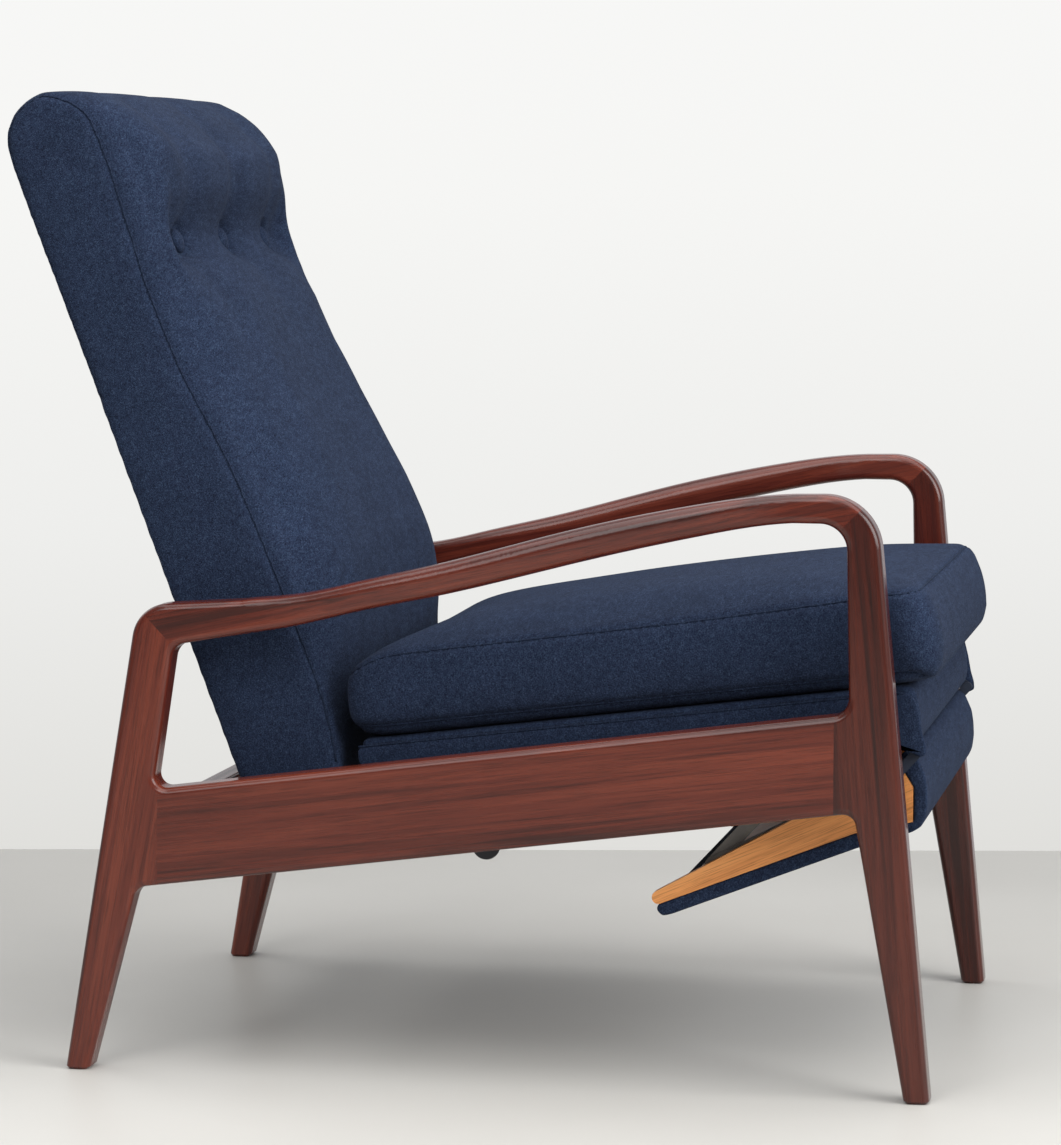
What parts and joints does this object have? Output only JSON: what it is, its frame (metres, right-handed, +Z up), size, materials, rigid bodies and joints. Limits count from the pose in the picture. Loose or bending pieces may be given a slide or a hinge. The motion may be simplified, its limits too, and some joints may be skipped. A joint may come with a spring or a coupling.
{
  "type": "reclining armchair",
  "caption": "Reclining armchair with a sculpted wooden side frame, boxed seat cushion, buttoned padded back and a folding footrest under the seat.",
  "frame": {"origin": "on the floor, in the middle of the chair's width and depth", "axes": "+Z up, +X to the sitter's left, the chair faces -Y"},
  "size_m": [0.691, 0.9394, 0.9788],
  "materials": {
    "frame_wood": "oiled satin",
    "footrest_wood": "lacquered satin",
    "inner_wood": "planed",
    "upholstery": "tweed weave",
    "webbing": "woven strap",
    "steel": "dark satin",
    "screw_steel": "satin"
  },
  "bodies": {
    "frame": {"rear_leg_left": "frame_wood", "rear_leg_right": "frame_wood", "front_leg_left": "frame_wood", "front_leg_right": "frame_wood", "side_rail_left": "frame_wood", "side_rail_right": "frame_wood", "armrest_left": "frame_wood", "armrest_right": "frame_wood", "rail_bracket_left": "steel", "rail_bracket_right": "steel", "bracket_screws_left": "screw_steel", "bracket_screws_right": "screw_steel", "runner_channel_left": "steel", "runner_channel_right": "steel", "channel_screws_left": "screw_steel", "channel_screws_right": "screw_steel", "rear_cross_rail": "frame_wood", "middle_cross_rail": "frame_wood"},
    "seat": {"seat_side_rail_left": "inner_wood", "seat_side_rail_right": "inner_wood", "seat_slide_left": "steel", "seat_slide_right": "steel", "footrest_hinge_left": "steel", "footrest_hinge_right": "steel", "stay_bracket_left": "steel", "stay_bracket_right": "steel", "seat_rear_rail": "inner_wood", "seat_front_rail": "inner_wood", "seat_webbing": "webbing", "seat_deck": "upholstery", "seat_cushion": "upholstery"},
    "back": {"back_stile_left": "inner_wood", "back_stile_right": "inner_wood", "back_pivot_plate_left": "steel", "back_pivot_plate_right": "steel", "back_lower_pin_left": "steel", "back_lower_pin_right": "steel", "back_lower_rail": "inner_wood", "back_middle_rail": "inner_wood", "back_top_rail": "inner_wood", "back_webbing": "webbing", "back_upholstery": "upholstery", "back_rear_panel": "upholstery", "back_buttons": "upholstery"},
    "footrest": {"footrest_cheek_left": "footrest_wood", "footrest_cheek_right": "footrest_wood", "footrest_arm_left": "steel", "footrest_arm_right": "steel", "footrest_board": "inner_wood", "footrest_front_block": "inner_wood", "footrest_pad": "upholstery"},
    "upper_stay_left": {"stay_upper_left": "steel"},
    "upper_stay_right": {"stay_upper_right": "steel"},
    "lower_stay_left": {"stay_lower_left": "steel"},
    "lower_stay_right": {"stay_lower_right": "steel"}
  },
  "joints": [
    {"name": "back_recline", "type": "hinge", "parent": "frame", "child": "back", "pos_m": [0, 0.2004, 0.459], "axis": [-1, 0, 0], "range_deg": [0, 25]},
    {"name": "seat_glide", "type": "slide", "parent": "frame", "child": "seat", "axis": [0, -0.9913, 0.1316], "range_m": [0, 0.083]},
    {"name": "footrest_flip", "type": "hinge", "parent": "seat", "child": "footrest", "pos_m": [0, -0.4476, 0.336], "axis": [-1, 0, 0], "range_deg": [0, 150.5]},
    {"name": "upper_stay_swing_left", "type": "hinge", "parent": "seat", "child": "upper_stay_left", "pos_m": [0, -0.3396, 0.322], "axis": [-1, 0, 0], "range_deg": [0, 124.6]},
    {"name": "lower_stay_fold_left", "type": "hinge", "parent": "upper_stay_left", "child": "lower_stay_left", "pos_m": [0, -0.2406, 0.213], "axis": [-1, 0, 0], "range_deg": [-128.5, 0]},
    {"name": "upper_stay_swing_right", "type": "hinge", "parent": "seat", "child": "upper_stay_right", "pos_m": [0, -0.3396, 0.322], "axis": [-1, 0, 0], "range_deg": [0, 124.6]},
    {"name": "lower_stay_fold_right", "type": "hinge", "parent": "upper_stay_right", "child": "lower_stay_right", "pos_m": [0, -0.2406, 0.213], "axis": [-1, 0, 0], "range_deg": [-128.5, 0]}
  ],
  "couplings": [
    {"joint": "seat_glide", "follows": "back_recline", "m_per_rad": 0.18885},
    {"joint": "footrest_flip", "follows": "back_recline", "ratio": 6},
    {"joint": "upper_stay_swing_left", "follows": "back_recline", "ratio": 4.964},
    {"joint": "lower_stay_fold_left", "follows": "back_recline", "ratio": -5.12},
    {"joint": "upper_stay_swing_right", "follows": "back_recline", "ratio": 4.964},
    {"joint": "lower_stay_fold_right", "follows": "back_recline", "ratio": -5.12}
  ]
}
